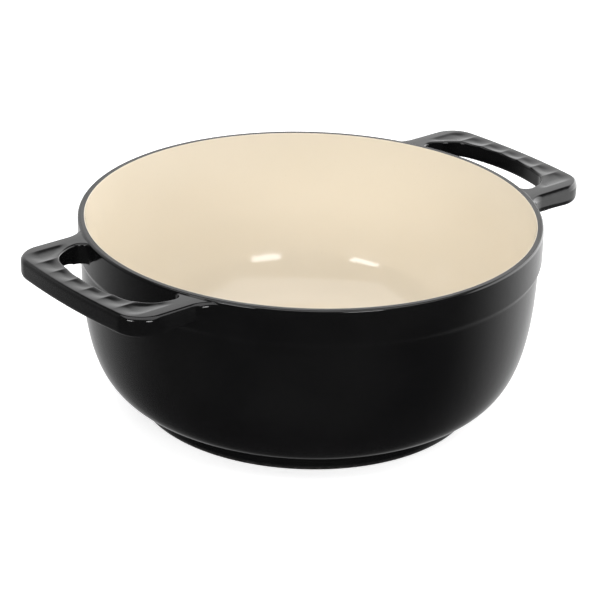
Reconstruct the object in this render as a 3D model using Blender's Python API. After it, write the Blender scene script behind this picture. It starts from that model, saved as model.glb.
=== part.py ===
"""A round dutch oven of enamelled cast iron, without its lid.

The bowl and its two loop handles are one casting. Four coats of enamel lie on it: black outside,
cream inside, a satin band on the rim and a disc under the base. Units are metres and +Z is up. The
origin is on the table under the bowl's axis, and the handles lie along X.
"""

from math import asin, atan2, cos, degrees, hypot, pi, radians, sin, sqrt

import bmesh
import bpy

# Driving dimensions of the bowl
HEIGHT = 0.106
MOUTH_RADIUS = 0.120
RIM_WIDTH = 0.0037
RIM_ROUNDING = 0.0008
COLLAR_RADIUS = 0.1238
COLLAR_HEIGHT = 0.017  # the collar's outside, from the rim to the start of its step
COLLAR_STEP_HEIGHT = 0.005
WALL_TOP_RADIUS = 0.1221
WALL_PULL = (0.1215, 0.0216)  # the wall leaves the collar towards this (radius, height)
UNDERSIDE_PULL = (0.1065, 0.0130)  # and comes down to the foot from this (radius, height)

# Foot
FOOT_RADIUS = 0.0924
FOOT_HEIGHT = 0.0088
FOOT_ROUNDING = 0.0040
FOOT_FILLET = 0.001
RECESS_RADIUS = 0.080
RECESS_DEPTH = 0.003

# Inside of the bowl
INNER_WALL_TOP = (0.118, 0.080)
INNER_WALL_PULL = (0.1183, 0.0225)
FLOOR_PULL = 0.098
FLOOR_RADIUS = 0.078
FLOOR_HEIGHT = 0.0085

# Coats
COAT = 0.0004
GAP = 0.0003
COAT_HEM = 0.0006  # the black coat ends this high above the table
UNDER_COAT = COAT + GAP

# Loop handles: the reach is along X, the half widths are along Y
HANDLE_REACH = 0.1588
HANDLE_HALF_WIDTH = 0.0537
HANDLE_CORNER = 0.014
TIP_BOW_RADIUS = 0.394
ROOT_FLARE = 0.008
ROOT_EMBEDDING = 0.009  # the arms start this far inside the collar, and the bowl's cavity trims them
OPENING_REACH = 0.1457
OPENING_HALF_WIDTH = 0.0415
OPENING_CORNER = 0.013
OPENING_ROOT_CORNER = 0.0075
OPENING_BOW_RADIUS = 0.103
HANDLE_TOP = HEIGHT - 0.0008
HANDLE_UPPER_ROUNDING = 0.0014
HANDLE_LOWER_ROUNDING = 0.0028
WALL_BITE = 0.0003  # the root curves run this far into the collar, so they meet it at an angle

# Height of the loops' sides: along their outside from root to tip, and round their openings
ROOT_SIDE = 0.0099
TIP_SIDE = 0.0114
SIDE_GROWTH = (0.120, 0.152)  # it grows between these reaches
OPENING_SIDE = 0.0095
OPENING_DROOP = 0.0025  # it is this much higher at the collar
OPENING_DROOP_END = 0.134

# Finger scallops across the top of each loop
SCALLOPS = 7
SCALLOP_PITCH = 0.0133
SCALLOP_DEPTH = 0.0010
SCALLOP_REACHES = (0.133, 0.141, 0.1495, 0.1568)  # they fade in, run at full depth and fade out
SCALLOP_BOW_RADIUS = 0.24  # those reaches fall back beside the middle, as the bar does
CREST_LIFT = 0.00006  # the cutter's crests pass this far above the top, which leaves narrow lands

CLEAR = 0.001  # how far a cutter runs past an open face

# Fineness of the round surfaces
TURN_STEPS = 48
CURVE_STEPS = 7
SCALLOP_STEPS = 4


def on_circle(centre, radius, angle_deg):
    angle = radians(angle_deg)
    return (centre[0] + radius * cos(angle), centre[1] + radius * sin(angle))


def arc(centre, radius, start_deg, end_deg, steps):
    """Points along an arc, both ends included."""
    turn = (end_deg - start_deg) / steps
    return [on_circle(centre, radius, start_deg + turn * i) for i in range(steps + 1)]


def bezier(a, b, c, d, steps):
    """Points along a cubic curve, both ends included."""
    points = []
    for i in range(steps + 1):
        t = i / steps
        weights = ((1 - t) ** 3, 3 * (1 - t) ** 2 * t, 3 * (1 - t) * t**2, t**3)
        points.append(tuple(sum(w * p[k] for w, p in zip(weights, (a, b, c, d))) for k in (0, 1)))
    return points


def s_curve(top, bottom, steps):
    """A soft step from one height down to another, level with neither."""
    middle = (top[1] + bottom[1]) / 2
    return bezier(top, (top[0], middle), (bottom[0], middle), bottom, steps)


def moved_right(points, distance, closed=False):
    """The path moved by the distance to the right of its direction, with mitred corners."""
    moved = []
    count = len(points)
    for i, (x, y) in enumerate(points):
        before = points[i - 1] if i or closed else None
        after = points[(i + 1) % count] if i < count - 1 or closed else None
        normals = []
        for start, end in ((before, (x, y)), ((x, y), after)):
            if start and end:
                length = hypot(end[0] - start[0], end[1] - start[1])
                normals.append(((end[1] - start[1]) / length, (start[0] - end[0]) / length))
        mean = [sum(n[k] for n in normals) / len(normals) for k in (0, 1)]
        square = mean[0] ** 2 + mean[1] ** 2
        moved.append((x + distance * mean[0] / square, y + distance * mean[1] / square))
    return moved


def outside_path():
    """The outside of the bowl as (radius, height), from the top of the rim down to the table."""
    rim_radius = MOUTH_RADIUS + RIM_WIDTH
    edge = (rim_radius - RIM_ROUNDING, HEIGHT - RIM_ROUNDING)
    step_top = HEIGHT - COLLAR_HEIGHT
    step_bottom = step_top - COLLAR_STEP_HEIGHT
    path = arc(edge, RIM_ROUNDING, 90, 0, 2)
    path += [(COLLAR_RADIUS, HEIGHT - 0.007)]
    path += s_curve((COLLAR_RADIUS, step_top), (WALL_TOP_RADIUS, step_bottom), 3)
    path += bezier(
        (WALL_TOP_RADIUS, step_bottom),
        WALL_PULL,
        UNDERSIDE_PULL,
        (FOOT_RADIUS + FOOT_FILLET, FOOT_HEIGHT),
        CURVE_STEPS,
    )[1:]
    path += [(FOOT_RADIUS, FOOT_HEIGHT - FOOT_FILLET)]
    path += arc((FOOT_RADIUS - FOOT_ROUNDING, FOOT_ROUNDING), FOOT_ROUNDING, 0, -90, 2)
    return path


def inside_path():
    """The inside of the bowl as (radius, height), from the rim down to the middle of the floor."""
    path = [(MOUTH_RADIUS, HEIGHT)]
    path += bezier(
        INNER_WALL_TOP,
        INNER_WALL_PULL,
        (FLOOR_PULL, FLOOR_HEIGHT),
        (FLOOR_RADIUS, FLOOR_HEIGHT),
        CURVE_STEPS,
    )
    return path + [(0.0, FLOOR_HEIGHT)]


def outside_at(inset):
    """The outside path moved into the wall, with its ends brought back to their heights."""
    path = moved_right(outside_path(), inset)
    return [(path[0][0], HEIGHT - inset)] + path[1:-1] + [(path[-1][0], inset)]


def inside_at(inset):
    """The inside path moved into the wall, kept on the axis at the middle of the floor."""
    path = moved_right(inside_path(), -inset)
    return path[:-1] + [(0.0, FLOOR_HEIGHT - inset)]


def clipped_below(path, height):
    """The falling path down to a height, with a last point exactly there."""
    kept = [point for point in path if point[1] > height]
    upper, lower = kept[-1], path[len(kept)]
    share = (upper[1] - height) / (upper[1] - lower[1])
    return kept + [(upper[0] + share * (lower[0] - upper[0]), height)]


def new_object(name, mesh_builder):
    """A mesh object from a bmesh, closed and facing out."""
    bmesh.ops.remove_doubles(mesh_builder, verts=mesh_builder.verts, dist=1e-7)
    bmesh.ops.recalc_face_normals(mesh_builder, faces=mesh_builder.faces)
    mesh = bpy.data.meshes.new(name)
    mesh_builder.to_mesh(mesh)
    mesh_builder.free()
    mesh.shade_smooth()
    mesh.set_sharp_from_angle(angle=radians(30))
    obj = bpy.data.objects.new(name, mesh)
    bpy.context.scene.collection.objects.link(obj)
    return obj


def turned(name, profile):
    """A solid turned about Z from a profile of (radius, height), which may start and end on the axis."""
    builder = bmesh.new()
    verts = [builder.verts.new((radius, 0.0, height)) for radius, height in profile]
    pairs = zip(verts, verts[1:] + verts[:1])
    edges = [builder.edges.new(pair) for pair in pairs if pair[0].co.x > 0 or pair[1].co.x > 0]
    bmesh.ops.spin(
        builder,
        geom=verts + edges,
        axis=(0, 0, 1),
        cent=(0, 0, 0),
        angle=2 * pi,
        steps=TURN_STEPS,
        use_merge=True,
    )
    return new_object(name, builder)


def panel(builder, a, b, c, d):
    """A four-sided patch, folded along the line from a to c."""
    builder.faces.new((a, b, c))
    builder.faces.new((a, c, d))


def stacked(name, layers, side):
    """A solid through rings of (x, y, z), each going out along a loop and back along its inside."""
    builder = bmesh.new()
    rings = [[builder.verts.new((side * x, y, z)) for x, y, z in ring] for ring in layers]
    for lower, upper in zip(rings, rings[1:]):
        for i in range(len(lower)):
            panel(builder, lower[i - 1], lower[i], upper[i], upper[i - 1])
    for ring in (rings[0], rings[-1]):
        for i in range(len(ring) // 2 - 1):
            panel(builder, ring[i], ring[i + 1], ring[-i - 2], ring[-i - 1])
    return new_object(name, builder)


def mirrored(half):
    """A path from the -Y side to the middle, followed by its mirror image on the +Y side."""
    return half + [(x, -y) for x, y in reversed(half) if abs(y) > 1e-9]


def embedded(root):
    """The point level with a root of the loop, but inside the collar."""
    shrink = 1 - ROOT_EMBEDDING / hypot(*root)
    return (root[0] * shrink, root[1] * shrink)


def handle_outside():
    """The outer edge of one handle seen from above, from root to root."""
    flare_y = HANDLE_HALF_WIDTH + ROOT_FLARE
    flare_x = sqrt((COLLAR_RADIUS + ROOT_FLARE - WALL_BITE) ** 2 - flare_y**2)
    corner_y = HANDLE_HALF_WIDTH - HANDLE_CORNER
    bow_x = HANDLE_REACH - TIP_BOW_RADIUS
    corner_x = bow_x + sqrt((TIP_BOW_RADIUS - HANDLE_CORNER) ** 2 - corner_y**2)
    corner_end = degrees(atan2(-corner_y, corner_x - bow_x))
    flare = arc((flare_x, -flare_y), ROOT_FLARE, 180 - degrees(atan2(flare_y, flare_x)), 90, 3)
    corner = arc((corner_x, -corner_y), HANDLE_CORNER, -90, corner_end, 4)
    bow = arc((bow_x, 0), TIP_BOW_RADIUS, corner_end, 0, 3)[1:]
    return mirrored([embedded(flare[0])] + flare + corner + bow)


def handle_inside():
    """The edge of one handle's opening seen from above, with as many points as the outer edge."""
    root_y = OPENING_HALF_WIDTH - OPENING_ROOT_CORNER
    root_x = sqrt((COLLAR_RADIUS + OPENING_ROOT_CORNER - WALL_BITE) ** 2 - root_y**2)
    corner_y = OPENING_HALF_WIDTH - OPENING_CORNER
    bow_x = OPENING_REACH - OPENING_BOW_RADIUS
    corner_x = bow_x + sqrt((OPENING_BOW_RADIUS - OPENING_CORNER) ** 2 - corner_y**2)
    corner_end = degrees(asin(-corner_y / (OPENING_BOW_RADIUS - OPENING_CORNER)))
    root_start = 180 - degrees(atan2(root_y, root_x))
    root = arc((root_x, -root_y), OPENING_ROOT_CORNER, root_start, 270, 3)
    corner = arc((corner_x, -corner_y), OPENING_CORNER, -90, corner_end, 4)
    bow = arc((bow_x, 0), OPENING_BOW_RADIUS, corner_end, 0, 3)[1:]
    return mirrored([embedded(root[0])] + root + corner + bow)


def side_height(reach, outside):
    """How far a loop's underside lies below its top, on its outer or its opening side."""
    if outside:
        start, end = SIDE_GROWTH
        share = min(max((reach - start) / (end - start), 0.0), 1.0)
        return ROOT_SIDE + share * (TIP_SIDE - ROOT_SIDE)
    share = (OPENING_DROOP_END - reach) / (OPENING_DROOP_END - COLLAR_RADIUS)
    return OPENING_SIDE + OPENING_DROOP * min(max(share, 0.0), 1.0) ** 2


def handle(name, side, inset):
    """A loop handle, rounded along its edges, with every surface moved inwards by the inset."""
    outside = handle_outside()
    outline = outside + handle_inside()[::-1]
    heights = [side_height(x, i < len(outside)) for i, (x, _) in enumerate(outline)]
    layers = []
    for share, rounding, angles in (
        (1, HANDLE_LOWER_ROUNDING, (0, 40, 90)),
        (0, HANDLE_UPPER_ROUNDING, (90, 40, 0)),
    ):
        radius = rounding - inset
        for angle in angles:
            rise = (2 * share - 1) * (rounding - radius * cos(radians(angle)))
            ring = moved_right(outline, radius * sin(radians(angle)) - rounding, closed=True)
            layers.append(
                [(x, y, HANDLE_TOP - share * height + rise) for (x, y), height in zip(ring, heights)]
            )
    return stacked(name, layers, side)


def scallop_cutter(name, side, inset):
    """A block over one handle whose underside is a row of shallow round scallops."""
    half_width = SCALLOPS * SCALLOP_PITCH / 2
    columns = SCALLOPS * SCALLOP_STEPS
    crest = HANDLE_TOP - inset + CREST_LIFT
    builder = bmesh.new()
    rows, roofs = [], []
    for reach, share in zip(SCALLOP_REACHES, (0.0, 1.0, 1.0, 0.0)):
        row = []
        for i in range(columns + 1):
            y = -half_width + i * SCALLOP_PITCH / SCALLOP_STEPS
            across = (i % SCALLOP_STEPS) / SCALLOP_STEPS * 2 - 1
            depth = share * (SCALLOP_DEPTH + CREST_LIFT) * (1 - across**2)
            x = reach - y**2 / (2 * SCALLOP_BOW_RADIUS)
            row.append(builder.verts.new((side * x, y, crest - depth)))
        rows.append(row)
        roofs.append([builder.verts.new((vert.co.x, vert.co.y, HEIGHT + 0.004)) for vert in row])
    for near, far, near_roof, far_roof in zip(rows, rows[1:], roofs, roofs[1:]):
        for i in range(columns):
            panel(builder, near[i], near[i + 1], far[i + 1], far[i])
            panel(builder, near_roof[i], far_roof[i], far_roof[i + 1], near_roof[i + 1])
        for i in (0, -1):
            panel(builder, near[i], far[i], far_roof[i], near_roof[i])
    for row, roof in ((rows[0], roofs[0]), (rows[-1], roofs[-1])):
        for i in range(columns):
            panel(builder, row[i], row[i + 1], roof[i + 1], roof[i])
    return hidden(new_object(name, builder))


def hidden(helper):
    """Marks an object that only shapes others."""
    helper.hide_render = True
    helper.display_type = "WIRE"
    return helper


def combine(target, operation, *others):
    for other in others:
        modifier = target.modifiers.new(f"{operation.lower()}_{other.name}", "BOOLEAN")
        modifier.operation = operation
        modifier.object = other
        modifier.solver = "EXACT"


def handles(prefix, inset):
    """Both scalloped handles at an inset, as helpers."""
    made = []
    for side, word in ((1, "right"), (-1, "left")):
        loop = hidden(handle(f"{prefix}_{word}_loop", side, inset))
        combine(loop, "DIFFERENCE", scallop_cutter(f"{prefix}_{word}_scallops", side, inset))
        made.append(loop)
    return made


def paint(obj, linear_color, roughness, metallic=0.0):
    material = bpy.data.materials.new(obj.name)
    material.use_nodes = True
    shader = material.node_tree.nodes["Principled BSDF"]
    shader.inputs["Base Color"].default_value = (*linear_color, 1.0)
    shader.inputs["Roughness"].default_value = roughness
    shader.inputs["Metallic"].default_value = metallic
    obj.data.materials.append(material)


def make_iron_casting():
    """Bowl, handles and foot ring in one piece, bare only where the foot ring meets the table."""
    outside = outside_at(UNDER_COAT)
    profile = [(0.0, HEIGHT - UNDER_COAT)] + outside + [(outside[-1][0], 0.0)]
    profile += [(RECESS_RADIUS, 0.0), (RECESS_RADIUS, RECESS_DEPTH), (0.0, RECESS_DEPTH)]
    casting = turned("iron_casting", profile)
    inside = inside_at(UNDER_COAT)
    mouth = [(0.0, HEIGHT + CLEAR), (inside[0][0], HEIGHT + CLEAR)]
    cavity = hidden(turned("iron_cavity", mouth + inside[1:]))
    combine(casting, "UNION", *handles("iron", UNDER_COAT))
    combine(casting, "DIFFERENCE", cavity)
    paint(casting, (0.045, 0.043, 0.042), 0.65, 0.7)


def make_exterior_enamel():
    """The black coat: the outer form less the form under the coat, open at the rim and the foot."""
    outer = clipped_below(outside_at(0.0), COAT_HEM)
    coat = turned("exterior_enamel", [(0.0, HEIGHT)] + outer + [(0.0, COAT_HEM)])
    combine(coat, "UNION", *handles("coat", 0.0))
    under = outside_at(COAT)
    lip_radius = outer[0][0]
    core_profile = [(0.0, HEIGHT + CLEAR), (lip_radius, HEIGHT + CLEAR), (lip_radius, HEIGHT - COAT)]
    core_profile += under[1:] + [(under[-1][0], -CLEAR), (0.0, -CLEAR)]
    core = hidden(turned("coat_core", core_profile))
    combine(coat, "DIFFERENCE", core, *handles("coat_core", COAT))
    paint(coat, (0.006, 0.006, 0.006), 0.18)


def make_interior_enamel():
    """The cream lining: a thin cup from the rim across the floor."""
    lining_back = inside_at(COAT)
    lining_back[0] = (lining_back[0][0], HEIGHT)
    lining = turned("interior_enamel", inside_path() + list(reversed(lining_back)))
    paint(lining, (0.84, 0.72, 0.53), 0.15)


def make_rim_enamel():
    """The satin band that lies between the lining and the black coat, on top of the rim."""
    inner = MOUTH_RADIUS + UNDER_COAT
    outer = MOUTH_RADIUS + RIM_WIDTH - RIM_ROUNDING - GAP
    low, high = HEIGHT - COAT, HEIGHT
    band = turned("rim_enamel", [(inner, high), (outer, high), (outer, low), (inner, low)])
    paint(band, (0.02, 0.02, 0.02), 0.4)


def make_base_enamel():
    """The thin disc of enamel inside the foot ring."""
    radius = RECESS_RADIUS - GAP
    top = RECESS_DEPTH - GAP
    disc = turned("base_enamel", [(0.0, top), (radius, top), (radius, top - COAT), (0.0, top - COAT)])
    paint(disc, (0.012, 0.012, 0.012), 0.45)


def main():
    for obj in list(bpy.data.objects):
        bpy.data.objects.remove(obj)
    make_iron_casting()
    make_exterior_enamel()
    make_interior_enamel()
    make_rim_enamel()
    make_base_enamel()


main()
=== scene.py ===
"""A round dutch oven of enamelled cast iron, without its lid, on a pale studio floor.

The black coat is one continuous skin over the bowl, the foot and both loop handles. It is meshed
from a distance field, so that the loops flow into the collar as they do in a casting. The iron under
it is a coarser mesh of the same field, a coat's thickness inside, and shows only on the seat ring of
the foot. The cream lining, the rim band and the disc under the base are turned shapes.
Units are metres, the origin is on the table under the bowl's axis, and the handles lie along X.
"""

from math import cos, pi, radians, sin, sqrt

import bmesh
import bpy
import numpy as np
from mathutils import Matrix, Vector


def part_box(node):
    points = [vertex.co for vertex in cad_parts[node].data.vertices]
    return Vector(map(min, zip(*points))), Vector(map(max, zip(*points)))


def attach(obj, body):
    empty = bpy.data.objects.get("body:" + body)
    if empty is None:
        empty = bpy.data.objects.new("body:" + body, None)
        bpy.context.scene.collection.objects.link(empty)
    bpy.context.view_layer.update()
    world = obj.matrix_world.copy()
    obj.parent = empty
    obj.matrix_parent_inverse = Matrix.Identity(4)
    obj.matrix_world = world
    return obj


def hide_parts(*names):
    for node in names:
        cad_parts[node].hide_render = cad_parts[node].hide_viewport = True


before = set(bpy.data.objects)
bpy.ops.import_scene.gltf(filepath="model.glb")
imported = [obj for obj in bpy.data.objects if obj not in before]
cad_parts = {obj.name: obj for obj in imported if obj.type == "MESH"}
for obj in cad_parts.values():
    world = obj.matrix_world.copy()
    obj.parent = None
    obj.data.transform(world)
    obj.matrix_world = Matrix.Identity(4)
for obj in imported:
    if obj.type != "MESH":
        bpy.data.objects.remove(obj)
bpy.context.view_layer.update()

# Sizes taken from the CAD model
COAT_LOW, COAT_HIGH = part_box("exterior_enamel")
LINING_LOW, LINING_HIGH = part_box("interior_enamel")
BAND_LOW, BAND_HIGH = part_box("rim_enamel")
DISC_LOW, DISC_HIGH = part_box("base_enamel")
HEIGHT = COAT_HIGH.z
COLLAR_RADIUS = COAT_HIGH.y
HANDLE_REACH = COAT_HIGH.x
COAT_HEM = COAT_LOW.z
COAT = BAND_HIGH.z - BAND_LOW.z
MOUTH_RADIUS = LINING_HIGH.x - COAT
FLOOR_HEIGHT = LINING_LOW.z + COAT
RIM_RADIUS = MOUTH_RADIUS + 0.0037
RIM_ROUNDING = 0.0012
LIP_RADIUS = RIM_RADIUS - RIM_ROUNDING

# The bowl's outside, as in the CAD model
STEP_TOP = HEIGHT - 0.017
STEP_BOTTOM = STEP_TOP - 0.005
WALL_TOP_RADIUS = 0.1221
WALL_PULL = (0.1215, 0.0216)
UNDERSIDE_PULL = (0.1065, 0.0130)
FOOT_RADIUS = 0.0924
FOOT_HEIGHT = 0.0088
FOOT_ROUNDING = 0.004
FOOT_FILLET = 0.001

# The bowl's inside
INNER_WALL_TOP = (0.118, 0.080)
INNER_WALL_PULL = (0.1183, 0.0225)
FLOOR_PULL = 0.098
FLOOR_RADIUS = 0.078

LIP_ROUNDING = 0.0002
LIP_OUTSIDE = MOUTH_RADIUS + 0.00035
SEAM = 0.00002
BAND_EDGE = 0.00015

# The hidden iron: its gap to the coats, and the broken edge and rounding of the seat ring
CORE_GAP = 0.0001
SEAT_EDGE = 0.0005
SEAT_ROUNDING_END = -64.0

# Meshing: how coarse the skin's and the iron's grids are, where the loops are looked for, how far
# below the top and inside the lip the skin is cut open, and how far a point may move in one step
# and the least slope that the field is taken to have there
FINE, COARSE = 1.0, 2.6
LOOP_ZONE_RADIUS = 0.8 * COLLAR_RADIUS
LOOP_ZONE_BOTTOM = STEP_BOTTOM - 0.01
LOOP_ZONE_TURN = 34.0
LID_DEPTH, LID_INSET = 0.0003, 0.0002
LONGEST_MOVE, LEAST_SLOPE = 0.0008, 0.3

# The loop handles
HANDLE_HALF_WIDTH = 0.0537
HANDLE_CORNER = 0.014
TIP_BOW_RADIUS = 0.394
ROOT_FLARE = 0.008
OPENING_REACH = 0.1457
OPENING_HALF_WIDTH = 0.0415
OPENING_CORNER = 0.013
OPENING_ROOT_CORNER = 0.0075
OPENING_BOW_RADIUS = 0.103
HANDLE_TOP = HEIGHT - 0.0008
WALL_BITE = 0.0003
HOLE_EDGE_ROUNDING, OUTER_EDGE_ROUNDING = 0.0013, 0.0025
HOLE_UNDER_ROUNDING, OUTER_UNDER_ROUNDING = 0.0020, 0.0034
CROWN_DROP, CROWN_WIDTH = 0.0003, 0.007
ROOT_SIDE, TIP_SIDE = 0.0099, 0.0114
SIDE_GROWTH = (0.120, 0.152)
ARM_DRAFT, CORNER_GROWTH = 0.14, 0.25
OPENING_SIDE, OPENING_DROOP, OPENING_DROOP_END = 0.0095, 0.0025, 0.134
TOP_FILLET = 0.0005
UNDER_FILLET = 0.0025
FILLET_FADE = 0.003

# The finger scallops
SCALLOP_PITCH = 0.0133
SCALLOP_HALF_WIDTH = 3.5 * SCALLOP_PITCH
SCALLOP_DEPTH = 0.0009
SCALLOP_START = (0.130, 0.137)
SCALLOP_BOW_RADIUS = 0.24
SCALLOP_HOLE_SHARE, SCALLOP_HOLE_FADE = 0.35, 0.006
SCALLOP_EDGE_FADE = (0.0014, 0.0100)
CREST_SOFTNESS = 0.045

# Studio
WHITE = (1.0, 1.0, 1.0)
CAMERA_LOCATION = (-0.80797, -0.92848, 0.61780)
CAMERA_TURN = (65.4273, -1.6312, -40.0778)
CAMERA_LENS = 150.3516
ROOM_LIGHT = 0.04
SWEEP_FADE = (-0.25, 0.90)
SWEEP_TOP = (0.52, 0.73)
SWEEP_BELOW = (-0.95, -0.10)
SWEEP_LIGHT = 1.18
SWEEP_RIGHT_GAIN = 0.45
SIDE_WALL_TURN = 120.0
SIDE_WALL_FADE = (0.715, 0.80)
SIDE_WALL_BELOW = (-0.36, -0.16)
SIDE_WALL_LIGHT = 1.9
FLOOR_SIZE = 8.0
FLOOR_GLOW = 0.70


# Curves in the plane


def bezier(a, b, c, d, steps):
    """Points along a cubic curve, both ends included, as an array."""
    t = np.linspace(0.0, 1.0, steps + 1)[:, None]
    a, b, c, d = (np.array(point) for point in (a, b, c, d))
    return (1 - t) ** 3 * a + 3 * (1 - t) ** 2 * t * b + 3 * (1 - t) * t**2 * c + t**3 * d


def arc(centre, radius, start_deg, end_deg, steps):
    """Points along an arc, both ends included, as an array."""
    angles = np.radians(np.linspace(start_deg, end_deg, steps + 1))
    return np.stack([centre[0] + radius * np.cos(angles), centre[1] + radius * np.sin(angles)], 1)


def moved_left(points, distance):
    """An open path moved by the distance to the left of its direction."""
    along = np.gradient(points, axis=0)
    along /= np.linalg.norm(along, axis=1)[:, None]
    return points + distance * np.stack([-along[:, 1], along[:, 0]], 1)


def wall_profile():
    """Heights, radii and slopes of the bowl's outside, from just under the foot's top to the rim."""
    middle = (STEP_TOP + STEP_BOTTOM) / 2
    corner = (FOOT_RADIUS + FOOT_FILLET, FOOT_HEIGHT)
    slope = (UNDERSIDE_PULL[0] - corner[0]) / (UNDERSIDE_PULL[1] - corner[1])
    hidden_start = [(corner[0] - 0.009 * slope, corner[1] - 0.009)]
    underside = bezier(corner, UNDERSIDE_PULL, WALL_PULL, (WALL_TOP_RADIUS, STEP_BOTTOM), 400)
    step = bezier(
        (WALL_TOP_RADIUS, STEP_BOTTOM),
        (WALL_TOP_RADIUS, middle),
        (COLLAR_RADIUS, middle),
        (COLLAR_RADIUS, STEP_TOP),
        60,
    )
    collar = [(COLLAR_RADIUS, HEIGHT - 0.007), (RIM_RADIUS, HEIGHT + 0.002)]
    path = np.vstack([hidden_start, underside, step[1:], collar])
    heights = np.linspace(path[0, 1], path[-1, 1], 2400)
    radii = np.interp(heights, path[:, 1], path[:, 0])
    return heights, radii, np.gradient(radii, heights)


WALL_HEIGHTS, WALL_RADII, WALL_SLOPES = wall_profile()


# Distance fields: negative inside the shape


def rounded_overlap(a, b, radius):
    """Where both shapes are, with the edge between them rounded."""
    beyond = np.hypot(np.maximum(a + radius, 0), np.maximum(b + radius, 0))
    return np.minimum(-radius, np.maximum(a, b)) + beyond


def filleted_union(a, b, radius):
    """Where either shape is, with a fillet in the corner between them."""
    inside = np.hypot(np.maximum(radius - a, 0), np.maximum(radius - b, 0))
    return np.maximum(radius, np.minimum(a, b)) - inside


def bowl_field(r, z):
    radius = np.interp(z, WALL_HEIGHTS, WALL_RADII)
    slope = np.interp(z, WALL_HEIGHTS, WALL_SLOPES)
    wall = (r - radius) / np.sqrt(1 + slope**2)
    side = filleted_union(wall, r - FOOT_RADIUS, FOOT_FILLET)
    standing = rounded_overlap(side, -z, FOOT_ROUNDING)
    return rounded_overlap(standing, z - HEIGHT, RIM_ROUNDING)


def eased(value, start, end):
    """0 before start, 1 after end, and a smooth rise between."""
    share = np.clip((value - start) / (end - start), 0.0, 1.0)
    return share * share * (3 - 2 * share)


def scallop_depth(x, y, from_hole, from_edge):
    """How far the finger scallops lower a loop's top: most in mid bar, little at the opening's edge."""
    at_tip = eased(x + y**2 / (2 * SCALLOP_BOW_RADIUS), *SCALLOP_START)
    at_hole = SCALLOP_HOLE_SHARE + (1 - SCALLOP_HOLE_SHARE) * eased(from_hole, 0.0, SCALLOP_HOLE_FADE)
    share = at_tip * at_hole * eased(from_edge, *SCALLOP_EDGE_FADE)
    from_crest = np.abs((y / SCALLOP_PITCH) % 1.0 - 0.5) * 2
    soft = np.sqrt(from_crest**2 + CREST_SOFTNESS**2) - CREST_SOFTNESS
    return np.where(y < SCALLOP_HALF_WIDTH, share * SCALLOP_DEPTH * (2 * soft - soft**2), 0.0)


def loop_field(x, y, z):
    """One loop handle, for x and y at or above 0, and how far inside its plain outline a point is."""
    r = np.hypot(x, y)
    tip = np.hypot(x - HANDLE_REACH + TIP_BOW_RADIUS, y) - TIP_BOW_RADIUS
    depth = np.clip(HANDLE_TOP - z, 0.0, TIP_SIDE)
    half_width = HANDLE_HALF_WIDTH + ARM_DRAFT * depth
    outline = rounded_overlap(tip, y - half_width, HANDLE_CORNER + CORNER_GROWTH * depth)
    bow = np.hypot(x - OPENING_REACH + OPENING_BOW_RADIUS, y) - OPENING_BOW_RADIUS
    hole = rounded_overlap(bow, y - OPENING_HALF_WIDTH, OPENING_CORNER)
    root_radius = COLLAR_RADIUS - WALL_BITE
    opening = rounded_overlap(hole, root_radius - r, OPENING_ROOT_CORNER)
    plan = np.maximum(filleted_union(outline, r - root_radius, ROOT_FLARE), -opening)

    from_edge = np.maximum(-outline, 0.0)
    from_hole = np.maximum(hole, 0.0)
    outwards = from_hole / np.maximum(from_hole + from_edge, 1e-6)
    droop = np.clip((OPENING_DROOP_END - x) / (OPENING_DROOP_END - COLLAR_RADIUS), 0, 1)
    hole_side = OPENING_SIDE + OPENING_DROOP * droop**2
    edge_side = np.interp(x, SIDE_GROWTH, (ROOT_SIDE, TIP_SIDE))
    underside = HANDLE_TOP - hole_side - (edge_side - hole_side) * outwards

    crown = CROWN_DROP * (1 - np.clip(from_edge / CROWN_WIDTH, 0.0, 1.0)) ** 2
    top = z - HANDLE_TOP + scallop_depth(x, y, from_hole, from_edge) + crown
    upper = HOLE_EDGE_ROUNDING + (OUTER_EDGE_ROUNDING - HOLE_EDGE_ROUNDING) * outwards
    under = HOLE_UNDER_ROUNDING + (OUTER_UNDER_ROUNDING - HOLE_UNDER_ROUNDING) * outwards
    loop = rounded_overlap(rounded_overlap(plan, top, upper), underside - z, under)
    return loop, np.minimum(-outline, hole)


def outer_field(x, y, z):
    """The whole outside: the bowl with its collar and foot, and both loops."""
    bowl = bowl_field(np.hypot(x, y), z)
    loop, inside_arm = loop_field(np.abs(x), np.abs(y), z)
    depth = np.clip((HANDLE_TOP - z) / TIP_SIDE, 0.0, 1.0)
    fillet = TOP_FILLET + (UNDER_FILLET - TOP_FILLET) * depth**2
    fillet = fillet * np.clip(inside_arm / FILLET_FADE, 0.0, 1.0)
    near = (np.hypot(x, y) > LOOP_ZONE_RADIUS) & (z > LOOP_ZONE_BOTTOM)
    return np.where(near, filleted_union(bowl, loop, fillet), bowl)


def outer_normals(points, step=0.00004):
    """Unit gradients of the outer field, pointing out."""
    gradient = np.empty_like(points)
    for axis in range(3):
        shift = np.zeros(3)
        shift[axis] = step
        ahead, behind = (points + shift).T, (points - shift).T
        gradient[:, axis] = outer_field(*ahead) - outer_field(*behind)
    length = np.linalg.norm(gradient, axis=1)
    return gradient / length[:, None], length / (2 * step)


# Meshing


def steps_between(coarseness, *stops):
    """Grid lines through (position, spacing) stops: each spacing holds up to the next position."""
    lines = []
    for (start, spacing), (end, _) in zip(stops, stops[1:]):
        count = max(1, round((end - start) / (spacing * coarseness)))
        lines += list(np.linspace(start, end, count, endpoint=False))
    return np.array(lines + [stops[-1][0]])


def turn_lines(coarseness):
    """Angles of the grid's half planes: close together across the loops, wider between them."""
    quarter = steps_between(coarseness, (0.0, 0.17), (32.0, 0.9), (90.0, 0.0))
    half = np.concatenate([quarter, 180.0 - quarter[-2::-1]])
    return np.radians(np.concatenate([half, 180.0 + half[1:-1]]))


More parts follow.
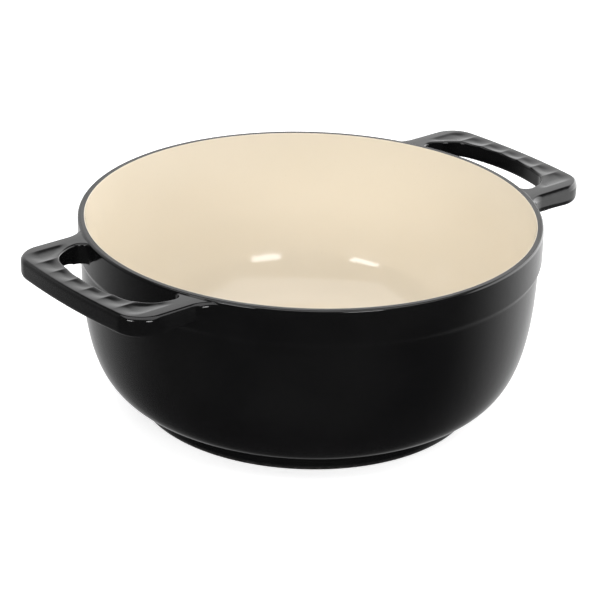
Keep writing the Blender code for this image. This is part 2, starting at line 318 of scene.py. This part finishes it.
def radius_lines(coarseness):
    return steps_between(
        coarseness,
        (0.0840, 0.00080),
        (0.0980, 0.00140),
        (0.1176, 0.00080),
        (0.1222, 0.00025),
        (0.1242, 0.00060),
        (0.1660, 0.0),
    )


def height_lines(coarseness):
    return steps_between(
        coarseness,
        (-0.0020, 0.00080),
        (0.0100, 0.00220),
        (0.0820, 0.00090),
        (0.0905, 0.00070),
        (0.1005, 0.00050),
        (0.1045, 0.00025),
        (0.1070, 0.0),
    )


def surface_net(field, turns, radii, heights):
    """The zero surface of a field sampled on (turn, radius, height), as points and four-sided faces."""
    corners = [(i, j, k) for i in (0, 1) for j in (0, 1) for k in (0, 1)]
    inside = field < 0
    wrapped = np.concatenate([inside, inside[:1]], 0)
    a, b, c = len(turns), len(radii) - 1, len(heights) - 1
    counts = sum(wrapped[i : i + a, j : j + b, k : k + c].astype(np.int8) for i, j, k in corners)
    cells = np.argwhere((counts > 0) & (counts < 8))
    number = np.full(counts.shape, -1, np.int32)
    number[tuple(cells.T)] = np.arange(len(cells))

    total = np.zeros((len(cells), 3))
    crossings = np.zeros(len(cells))
    values = {}
    for corner in corners:
        at = cells + corner
        values[corner] = field[at[:, 0] % len(turns), at[:, 1], at[:, 2]]
    for start in corners:
        for axis in range(3):
            if start[axis]:
                continue
            end = tuple(c + (n == axis) for n, c in enumerate(start))
            a, b = values[start], values[end]
            crosses = (a < 0) != (b < 0)
            share = np.where(crosses, a / np.where(crosses, a - b, 1.0), 0.0)
            total += crosses[:, None] * np.array(start)
            total[:, axis] += share
            crossings += crosses
    place = cells + total / crossings[:, None]
    turn = np.interp(place[:, 0], np.arange(len(turns) + 1), np.append(turns, 2 * pi))
    radius = np.interp(place[:, 1], np.arange(len(radii)), radii)
    height = np.interp(place[:, 2], np.arange(len(heights)), heights)
    points = np.stack([radius * np.cos(turn), radius * np.sin(turn), height], 1)

    faces = []
    for axis in range(3):
        ahead = wrapped[1:] if axis == 0 else np.roll(inside, -1, axis)
        edges = np.argwhere(inside != ahead)
        others = [n for n in range(3) if n != axis]
        for n in others + [axis]:
            if n:
                last = field.shape[n] - 2
                low = 1 if n in others else 0
                edges = edges[(edges[:, n] >= low) & (edges[:, n] <= last)]
        ring = []
        for da, db in ((-1, -1), (0, -1), (0, 0), (-1, 0)):
            cell = edges.copy()
            cell[:, others[0]] += da
            cell[:, others[1]] += db
            ring.append(number[cell[:, 0] % len(turns), cell[:, 1], cell[:, 2]])
        faces.append(np.stack(ring, 1))
    faces = np.concatenate(faces)
    return points, faces[(faces >= 0).all(1)]


def settled(points, faces):
    """The points evened out along the surface and put exactly on it."""
    pairs = np.concatenate([faces[:, [n, (n + 1) % 4]] for n in range(4)])
    pairs = np.concatenate([pairs, pairs[:, ::-1]])
    links = np.bincount(pairs[:, 0], minlength=len(points))
    for evening in (0.0, 0.5, 0.5, 0.0, 0.0):
        if evening:
            mean = np.stack(
                [np.bincount(pairs[:, 0], points[pairs[:, 1], n], len(points)) for n in range(3)], 1
            )
            mean /= np.maximum(links, 1)[:, None]
            points = points + evening * (mean - points)
        normals, slopes = outer_normals(points)
        offset = outer_field(*points.T) / np.maximum(slopes, LEAST_SLOPE)
        points = points - np.clip(offset, -LONGEST_MOVE, LONGEST_MOVE)[:, None] * normals
    return points


def faced_out(points, faces, normals):
    """The faces with their corners ordered so that they face the way their normals point."""
    a, b, c, d = (points[faces[:, n]] for n in range(4))
    facing = np.cross(c - a, d - b)
    wrong = (facing * normals[faces].sum(1)).sum(1) < 0
    faces = faces.copy()
    faces[wrong] = faces[wrong][:, ::-1]
    return faces


def boundary_edges(faces):
    """Directed edges that only one face uses."""
    edges = np.concatenate([faces[:, [n, (n + 1) % 4]] for n in range(4)])
    keys = np.sort(edges, 1)
    _, index, counts = np.unique(keys, axis=0, return_index=True, return_counts=True)
    return edges[index[counts == 1]]


def sampled_field(turns, radii, heights):
    """The outer field on the grid. Away from the loops it only depends on radius and height."""
    r, z = np.meshgrid(radii, heights, indexing="ij")
    field = np.broadcast_to(bowl_field(r, z), (len(turns), *r.shape)).copy()
    at_loops = np.flatnonzero(np.abs(np.sin(turns)) < sin(radians(LOOP_ZONE_TURN)))
    outer = np.flatnonzero(radii > LOOP_ZONE_RADIUS)
    upper = np.flatnonzero(heights > LOOP_ZONE_BOTTOM)
    t, r, z = np.meshgrid(turns[at_loops], radii[outer], heights[upper], indexing="ij")
    field[np.ix_(at_loops, outer, upper)] = outer_field(r * np.cos(t), r * np.sin(t), z)
    return field


def hem_radius():
    """The coat's radius where it ends, on the rounding under the foot."""
    return FOOT_RADIUS - FOOT_ROUNDING + sqrt(FOOT_ROUNDING**2 - (FOOT_ROUNDING - COAT_HEM) ** 2)


def open_skin(coarseness):
    """The outer surface alone, cut along the lip at the rim and the hem at the foot.

    Returns its points, outward faces and normals, and its edge's points along the lip and the hem.
    """
    grid = turn_lines(coarseness), radius_lines(coarseness), height_lines(coarseness)
    points, faces = surface_net(sampled_field(*grid), *grid)
    points = settled(points, faces)

    r, z = np.hypot(points[:, 0], points[:, 1]), points[:, 2]
    on_lid = (z > HEIGHT - LID_DEPTH) & (r < LIP_RADIUS - LID_INSET)
    kept = (z > COAT_HEM) & ~on_lid
    faces = faces[kept[faces].all(1)]
    used, faces = np.unique(faces, return_inverse=True)
    points, faces = points[used], faces.reshape(-1, 4)

    edge = np.unique(boundary_edges(faces))
    edge = edge[np.argsort(np.arctan2(points[edge, 1], points[edge, 0]))]
    high = points[edge, 2] > HEIGHT / 2
    lip, hem = edge[high], edge[~high]
    for ring, radius, height in ((lip, LIP_RADIUS, HEIGHT), (hem, hem_radius(), COAT_HEM)):
        points[ring, :2] *= (radius / np.hypot(points[ring, 0], points[ring, 1]))[:, None]
        points[ring, 2] = height
    normals, _ = outer_normals(points)
    return points, faced_out(points, faces, normals), normals, lip, hem


def black_skin():
    """The coat as a closed shell: the outer surface, its inner offset, and the lip and hem between."""
    points, faces, normals, _, _ = open_skin(FINE)
    rims = boundary_edges(faces)
    count = len(points)
    ends = np.stack([rims[:, 1], rims[:, 0], rims[:, 0] + count, rims[:, 1] + count], 1)
    points = np.concatenate([points, points - COAT * normals])
    normals = np.concatenate([normals, -normals])
    sides = np.concatenate([faces, faces[:, ::-1] + count])
    a, b, c, d = (points[ends[:, n]] for n in range(4))
    end_normals = np.cross(c - a, d - b)
    end_normals /= np.linalg.norm(end_normals, axis=1)[:, None]
    corner_normals = np.concatenate([normals[sides].reshape(-1, 3), np.repeat(end_normals, 4, axis=0)])
    obj = mesh_object("black_enamel_skin", points, np.concatenate([sides, ends]).tolist())
    obj.data.normals_split_custom_set(corner_normals.tolist())
    return obj


def casting():
    """The iron under the coats, loops included: bare only on the seat ring that it stands on."""
    points, faces, normals, lip, hem = open_skin(COARSE)
    points = (points - (COAT + CORE_GAP) * normals).tolist()
    faces = faces.tolist()

    inset = COAT + CORE_GAP
    bowl = np.vstack([(MOUTH_RADIUS + inset, HEIGHT - inset), behind_lining(inset)])
    recess = DISC_HIGH.z + CORE_GAP
    seat_radius = DISC_HIGH.x + CORE_GAP
    seat = [
        (0.0, recess),
        (seat_radius, recess),
        (seat_radius, SEAT_EDGE),
        (seat_radius + SEAT_EDGE, 0.0),
    ]
    centre = (FOOT_RADIUS - FOOT_ROUNDING, FOOT_ROUNDING)
    under = arc(centre, FOOT_ROUNDING, -90.0, SEAT_ROUNDING_END, 5)
    base = np.vstack([seat, under])[::-1]
    for ring, profile in ((lip, bowl), (hem[::-1], base)):
        angles = np.arctan2(np.array(points)[ring, 1], np.array(points)[ring, 0])
        rows = [ring.tolist()] + added_rows(points, profile, angles)
        for here, there in zip(rows, rows[1:]):
            faces += band(here, there)
    obj = mesh_object("iron_casting_core", points, faces)
    closed_and_outward(obj.data)
    return obj


def added_rows(points, profile, angles):
    """Adds a ring of points for each radius and height, one point where it meets the axis."""
    rows = []
    for radius, height in profile:
        first = len(points)
        if radius < 1e-9:
            points.append([0.0, 0.0, height])
            rows.append([first] * len(angles))
        else:
            points += [[radius * cos(angle), radius * sin(angle), height] for angle in angles]
            rows.append(list(range(first, first + len(angles))))
    return rows


def band(here, there):
    """The faces between two rings of points, three-sided where one ring is a point."""
    faces = []
    for i in range(len(here)):
        j = (i + 1) % len(here)
        corners = [here[i], here[j], there[j], there[i]]
        faces.append([c for n, c in enumerate(corners) if c not in corners[:n]])
    return faces


def closed_and_outward(data):
    mesh = bmesh.new()
    mesh.from_mesh(data)
    bmesh.ops.recalc_face_normals(mesh, faces=mesh.faces)
    mesh.to_mesh(data)
    mesh.free()
    data.set_sharp_from_angle(angle=radians(38))


def mesh_object(name, points, faces):
    mesh = bpy.data.meshes.new(name)
    mesh.from_pydata(np.asarray(points).tolist(), [], faces)
    mesh.shade_smooth()
    obj = bpy.data.objects.new(name, mesh)
    bpy.context.scene.collection.objects.link(obj)
    return obj


def turned(name, profile, steps=288):
    """A closed body turned about Z from a closed outline that may touch the axis."""
    points, faces = [], []
    rows = added_rows(points, profile, [2 * pi * i / steps for i in range(steps)])
    for here, there in zip(rows, rows[1:] + rows[:1]):
        if here[0] != here[1] or there[0] != there[1]:
            faces += band(here, there)
    obj = mesh_object(name, points, faces)
    closed_and_outward(obj.data)
    return obj


def softened(path, passes):
    """A path with its bends eased and its ends kept."""
    path = path.copy()
    for _ in range(passes):
        path[1:-1] = (path[:-2] + 2 * path[1:-1] + path[2:]) / 4
    return path


def lining_face():
    """The lining's inner face as radius and height, from under the lip to the middle of the floor."""
    floor_edge = (FLOOR_RADIUS, FLOOR_HEIGHT)
    wall = np.linspace((MOUTH_RADIUS, HEIGHT - LIP_ROUNDING), INNER_WALL_TOP, 18)
    bowl = bezier(INNER_WALL_TOP, INNER_WALL_PULL, (FLOOR_PULL, FLOOR_HEIGHT), floor_edge, 70)
    floor = np.linspace(floor_edge, (0.0, FLOOR_HEIGHT), 20)
    return softened(np.vstack([wall, bowl[1:], floor[1:]]), 20)


def behind_lining(distance):
    """The lining's inner face moved out by the distance, from a little lower down to the axis."""
    path = moved_left(lining_face()[4:], distance)
    path[-1, 0] = 0.0
    return path


def cream_lining():
    """The lining: a thin cup whose lip rolls over the inner edge of the rim."""
    roll = arc((MOUTH_RADIUS + LIP_ROUNDING, HEIGHT - LIP_ROUNDING), LIP_ROUNDING, 90, 180, 5)
    lip = [
        (MOUTH_RADIUS + COAT, HEIGHT - COAT),
        (LIP_OUTSIDE, HEIGHT - LIP_ROUNDING / 2),
        (LIP_OUTSIDE - LIP_ROUNDING / 4, HEIGHT),
    ]
    outline = np.vstack([lip, roll, lining_face()[1:], behind_lining(COAT)[::-1]])
    return turned("cream_enamel_lining", outline)


def rim_band():
    """The satin band on the ground rim, with its two edges just broken."""
    inside, outside = LIP_OUTSIDE + SEAM, LIP_RADIUS - SEAM
    low, edge = HEIGHT - COAT, BAND_EDGE
    rounded_in = arc((inside + edge, HEIGHT - edge), edge, 180, 90, 4)
    rounded_out = arc((outside - edge, HEIGHT - edge), edge, 90, 0, 4)
    flat = np.linspace(rounded_in[-1], rounded_out[0], 8)[1:-1]
    ends = (MOUTH_RADIUS + COAT + SEAM, low), (outside, low)
    return turned("rim_enamel_band", np.vstack([ends[0], rounded_in, flat, rounded_out, ends[1]]))


def base_disc():
    """The thin coat in the recess under the base."""
    radius, low, high = DISC_HIGH.x, DISC_LOW.z, DISC_HIGH.z
    edge = (high - low) / 2
    rounded = arc((radius - edge, low + edge), edge, -90, 90, 8)
    under = np.linspace((0.0, low), rounded[0], 12)[:-1]
    return turned("base_enamel_disc", np.vstack([under, rounded, [(0.0, high)]]))


# Materials


class Shading:
    """The node tree of a material or a world, and the kinds of node that both are built from."""

    def __init__(self, owner, place):
        owner.use_nodes = True
        self.nodes, self.links = owner.node_tree.nodes, owner.node_tree.links
        self.place = self.nodes.new("ShaderNodeTexCoord").outputs[place]

    def between(self, value, start, end, low=0.0, high=1.0, interpolation="SMOOTHSTEP"):
        """The value mapped from start..end to low..high, without overshoot."""
        node = self.nodes.new("ShaderNodeMapRange")
        node.interpolation_type = interpolation
        limits = {"From Min": start, "From Max": end, "To Min": low, "To Max": high}
        for socket, number in limits.items():
            node.inputs[socket].default_value = number
        self.links.new(value, node.inputs["Value"])
        return node.outputs["Result"]

    def maths(self, operation, a, b):
        node = self.nodes.new("ShaderNodeMath")
        node.operation = operation
        for socket, value in zip(node.inputs, (a, b)):
            if isinstance(value, float):
                socket.default_value = value
            else:
                self.links.new(value, socket)
        return node.outputs[0]

    def times(self, a, b):
        return self.maths("MULTIPLY", a, b)


class Material(Shading):
    """A procedural material: its shader, and the kinds of node that colour and roughen it."""

    def __init__(self, name):
        self.data = bpy.data.materials.new(name)
        super().__init__(self.data, "Object")
        self.shader = self.nodes["Principled BSDF"]

    def noise(self, scale, detail=2.0, place=None):
        node = self.nodes.new("ShaderNodeTexNoise")
        node.inputs["Scale"].default_value = scale
        node.inputs["Detail"].default_value = detail
        self.links.new(place or self.place, node.inputs["Vector"])
        return node.outputs["Fac"]

    def tone(self, share, first, second):
        """A colour between two, each a colour or another tone."""
        node = self.nodes.new("ShaderNodeMix")
        node.data_type = "RGBA"
        self.links.new(share, node.inputs["Factor"])
        for socket, colour in zip((node.inputs[6], node.inputs[7]), (first, second)):
            if isinstance(colour, tuple):
                socket.default_value = (*colour, 1.0)
            else:
                self.links.new(colour, socket)
        return node.outputs[2]

    def height(self):
        node = self.nodes.new("ShaderNodeSeparateXYZ")
        self.links.new(self.place, node.inputs[0])
        return node.outputs["Z"]

    def round_place(self, scales):
        """The place as distance from the axis, turn and height, each scaled: marks then run round."""
        split = self.nodes.new("ShaderNodeSeparateXYZ")
        self.links.new(self.place, split.inputs[0])
        x, y, z = split.outputs
        squares = self.maths("ADD", self.times(x, x), self.times(y, y))
        radius = self.maths("POWER", squares, 0.5)
        turn = self.maths("ARCTAN2", y, x)
        joined = self.nodes.new("ShaderNodeCombineXYZ")
        for part, scale, socket in zip((radius, turn, z), scales, joined.inputs):
            self.links.new(self.times(part, scale), socket)
        return joined.outputs[0]

    def roughened(self, broad, low, high, fine, more):
        """A roughness from low to high with the broad noise, with up to so much more for the fine one."""
        base = self.between(broad, 0.3, 0.7, low, high)
        return self.maths("ADD", base, self.between(fine, 0.3, 0.7, 0.0, more))

    def relief(self, height, distance, below=None):
        """A bump of that height in metres, over another bump if one is given."""
        node = self.nodes.new("ShaderNodeBump")
        node.inputs["Strength"].default_value = 1.0
        node.inputs["Distance"].default_value = distance
        self.links.new(height, node.inputs["Height"])
        if below:
            self.links.new(below, node.inputs["Normal"])
        return node.outputs["Normal"]

    def finish(self, colour, roughness, normal, **constants):
        self.links.new(colour, self.shader.inputs["Base Color"])
        self.links.new(roughness, self.shader.inputs["Roughness"])
        self.links.new(normal, self.shader.inputs["Normal"])
        for name, value in constants.items():
            self.shader.inputs[name.replace("_", " ")].default_value = value
        return self.data


def black_enamel():
    """Black gloss glass over cast iron: a soft orange peel, and wear where the foot is ground."""
    m = Material("black_enamel_gloss")
    cloudy = m.noise(14.0, 3.0)
    peel = m.noise(210.0, 1.5)
    grain = m.noise(1400.0, 2.0)
    colour = m.tone(m.between(cloudy, 0.35, 0.65), (0.0022, 0.0022, 0.0024), (0.0040, 0.0040, 0.0041))
    colour = m.tone(m.between(grain, 0.62, 0.80, 0.0, 0.3), colour, (0.014, 0.014, 0.014))
    foot_wear = m.between(m.height(), 0.0012, 0.0040, 1.0, 0.0)
    worn = m.times(foot_wear, m.between(m.noise(300.0, 3.0), 0.35, 0.65, 0.4, 1.0))
    colour = m.tone(worn, colour, (0.030, 0.029, 0.028))
    roughness = m.roughened(cloudy, 0.09, 0.12, grain, 0.02)
    roughness = m.maths("ADD", roughness, m.times(worn, 0.25))
    normal = m.relief(peel, 0.00003, m.relief(cloudy, 0.0003))
    return m.finish(colour, roughness, normal, IOR=1.52)


def cream_enamel():
    """Warm cream glass, a little darker towards the floor of the bowl, with a faint orange peel."""
    m = Material("cream_enamel_gloss")
    cloudy = m.noise(9.0, 3.0)
    peel = m.noise(160.0, 1.5)
    speck = m.noise(900.0, 1.0)
    colour = m.tone(m.between(cloudy, 0.3, 0.7), (0.820, 0.744, 0.612), (0.845, 0.770, 0.643))
    # The colour is a little darker towards the floor of the bowl
    darker_low_down = m.between(m.height(), 0.008, 0.030, 0.35, 0.0)
    colour = m.tone(darker_low_down, colour, (0.806, 0.722, 0.606))
    colour = m.tone(m.between(speck, 0.72, 0.82, 0.0, 0.25), colour, (0.66, 0.57, 0.44))
    roughness = m.roughened(cloudy, 0.06, 0.09, speck, 0.02)
    normal = m.relief(peel, 0.000015, m.relief(cloudy, 0.0002))
    return m.finish(colour, roughness, normal, IOR=1.52)


def rim_enamel():
    """The matt black of the rim, over faint grinding marks that run round it."""
    m = Material("rim_enamel_satin")
    marks = m.noise(1.0, 3.0, m.round_place((9000.0, 18.0, 100.0)))
    grain = m.noise(2200.0, 2.0)
    cloudy = m.noise(40.0, 2.0)
    colour = m.tone(m.between(grain, 0.3, 0.7), (0.028, 0.028, 0.029), (0.060, 0.059, 0.058))
    colour = m.tone(m.between(marks, 0.45, 0.75, 0.0, 0.5), colour, (0.075, 0.073, 0.070))
    roughness = m.roughened(cloudy, 0.34, 0.42, marks, 0.08)
    normal = m.relief(grain, 0.00001, m.relief(marks, 0.000008))
    return m.finish(colour, roughness, normal, IOR=1.5)


def base_enamel():
    """The thin satin coat under the base, with firing marks."""
    m = Material("base_enamel_satin")
    cloudy = m.noise(30.0, 4.0)
    peel = m.noise(260.0, 2.0)
    grain = m.noise(1500.0, 2.0)
    colour = m.tone(m.between(cloudy, 0.35, 0.65), (0.010, 0.010, 0.010), (0.026, 0.025, 0.024))
    colour = m.tone(m.between(grain, 0.6, 0.8, 0.0, 0.5), colour, (0.060, 0.058, 0.055))
    roughness = m.between(cloudy, 0.3, 0.7, 0.34, 0.50)
    normal = m.relief(grain, 0.000012, m.relief(peel, 0.00009))
    return m.finish(colour, roughness, normal, IOR=1.5)


def bare_iron():
    """Ground cast iron: turning marks, dark pores and a breath of rust."""
    m = Material("bare_iron_ground")
    marks = m.noise(1.0, 3.0, m.round_place((5000.0, 9.0, 60.0)))
    pores = m.noise(1100.0, 3.0)
    patches = m.noise(55.0, 4.0)
    colour = m.tone(m.between(marks, 0.3, 0.7), (0.045, 0.043, 0.042), (0.110, 0.106, 0.102))
    colour = m.tone(m.between(patches, 0.55, 0.75, 0.0, 0.6), colour, (0.085, 0.045, 0.026))
    colour = m.tone(m.between(pores, 0.62, 0.74), colour, (0.012, 0.011, 0.010))
    roughness = m.between(patches, 0.3, 0.7, 0.50, 0.72)
    normal = m.relief(pores, 0.00003, m.relief(marks, 0.00001))
    return m.finish(colour, roughness, normal, Metallic=0.35, IOR=1.5)


# Studio


def camera():
    data = bpy.data.cameras.new("camera")
    data.lens = CAMERA_LENS
    data.sensor_width = 36.0
    data.clip_start = 0.05
    data.clip_end = 100.0
    obj = bpy.data.objects.new("camera", data)
    obj.location = CAMERA_LOCATION
    obj.rotation_euler = [radians(angle) for angle in CAMERA_TURN]
    bpy.context.scene.collection.objects.link(obj)
    bpy.context.scene.camera = obj


def seen_from(turn, elevation):
    """The direction so many degrees to the right of the camera's own, and so many above the table."""
    front = Vector((CAMERA_LOCATION[0], CAMERA_LOCATION[1], 0.0)).normalized()
    right = Vector((-front.y, front.x, 0.0))
    level = front * cos(radians(turn)) + right * sin(radians(turn))
    return level * cos(radians(elevation)) + Vector((0.0, 0.0, sin(radians(elevation))))


def softbox(name, turn, elevation, distance, size, radiance, mirrored=True):
    """An oblong soft light that faces the pot. If it isn't mirrored, it makes no glints."""
    data = bpy.data.lights.new(name, "AREA")
    data.shape = "RECTANGLE"
    data.size, data.size_y = size
    data.energy = radiance * pi * size[0] * size[1]
    data.color = WHITE
    obj = bpy.data.objects.new(name, data)
    direction = seen_from(turn, elevation)
    obj.location = direction * distance + Vector((0.0, 0.0, HEIGHT / 2))
    obj.rotation_euler = direction.to_track_quat("Z", "Y").to_euler()
    obj.visible_glossy = mirrored
    bpy.context.scene.collection.objects.link(obj)


class WorldLight(Shading):
    """The world's brightness, worked out from the direction that a ray leaves in."""

    def along(self, direction):
        node = self.nodes.new("ShaderNodeVectorMath")
        node.operation = "DOT_PRODUCT"
        node.inputs[1].default_value = direction
        self.links.new(self.place, node.inputs[0])
        return node.outputs["Value"]


def surroundings():
    """A white sweep behind the pot, brighter to the right, a white side wall, and a dark room."""
    world = bpy.data.worlds.new("studio")
    light = WorldLight(world, "Generated")
    behind = light.between(light.along(seen_from(180.0, 0.0)), *SWEEP_FADE, 0.0, 1.0)
    up = light.along((0.0, 0.0, 1.0))
    low = light.between(up, *SWEEP_TOP, 1.0, 0.0)
    above_floor = light.between(up, *SWEEP_BELOW, 0.0, 1.0)
    gains = (SWEEP_LIGHT - SWEEP_RIGHT_GAIN, SWEEP_LIGHT + SWEEP_RIGHT_GAIN)
    gain = light.between(light.along(seen_from(90.0, 0.0)), -1.0, 1.0, *gains, "LINEAR")
    sweep = light.times(light.times(behind, above_floor), light.times(low, gain))

    to_wall = light.along(seen_from(SIDE_WALL_TURN, 0.0))
    beside = light.between(to_wall, *SIDE_WALL_FADE, 0.0, SIDE_WALL_LIGHT)
    wall = light.times(beside, light.times(low, light.between(up, *SIDE_WALL_BELOW, 0.0, 1.0)))

    strength = light.maths("ADD", light.maths("ADD", sweep, wall), ROOM_LIGHT)
    background = light.nodes["Background"]
    light.links.new(strength, background.inputs["Strength"])
    background.inputs["Color"].default_value = (*WHITE, 1.0)
    bpy.context.scene.world = world


def studio_floor():
    """A wide pale floor, left out of reflections so that the black wall mirrors the dark room."""
    half = FLOOR_SIZE / 2
    corners = [(-half, -half, 0.0), (half, -half, 0.0), (half, half, 0.0), (-half, half, 0.0)]
    floor = mesh_object("studio_floor", corners, [[0, 1, 2, 3]])
    m = Material("pale_floor")
    colour = m.tone(m.between(m.noise(3.0, 2.0), 0.3, 0.7), (0.90, 0.90, 0.90), (0.93, 0.93, 0.93))
    roughness = m.between(m.noise(30.0, 2.0), 0.3, 0.7, 0.85, 0.95)
    m.links.new(colour, m.shader.inputs["Emission Color"])
    m.shader.inputs["Emission Strength"].default_value = FLOOR_GLOW
    floor.data.materials.append(m.finish(colour, roughness, m.relief(m.noise(200.0), 0.00002)))
    floor.visible_glossy = False


def dress(piece, material, node):
    """Gives a piece its material, hangs it under the root body and hides the CAD node it stands for."""
    piece.data.materials.append(material)
    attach(piece, "root")
    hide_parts(node)


camera()
surroundings()
softbox("left_softbox", -33.0, 17.0, 1.6, (0.45, 0.34), 10.0)
softbox("right_softbox", 26.0, 18.0, 1.6, (0.45, 0.36), 10.0)
softbox("front_fill", 0.0, 24.0, 2.2, (2.0, 0.9), 1.35, mirrored=False)
softbox("right_fill", 75.0, 32.0, 2.2, (1.8, 1.0), 0.6, mirrored=False)
softbox("left_fill", -75.0, 32.0, 2.2, (1.8, 1.0), 1.4, mirrored=False)
softbox("ceiling", 0.0, 81.0, 2.2, (3.6, 2.5), 1.6)
studio_floor()

dress(black_skin(), black_enamel(), "exterior_enamel")
dress(cream_lining(), cream_enamel(), "interior_enamel")
dress(rim_band(), rim_enamel(), "rim_enamel")
dress(base_disc(), base_enamel(), "base_enamel")
dress(casting(), bare_iron(), "iron_casting")

bpy.context.scene.view_settings.view_transform = "Standard"
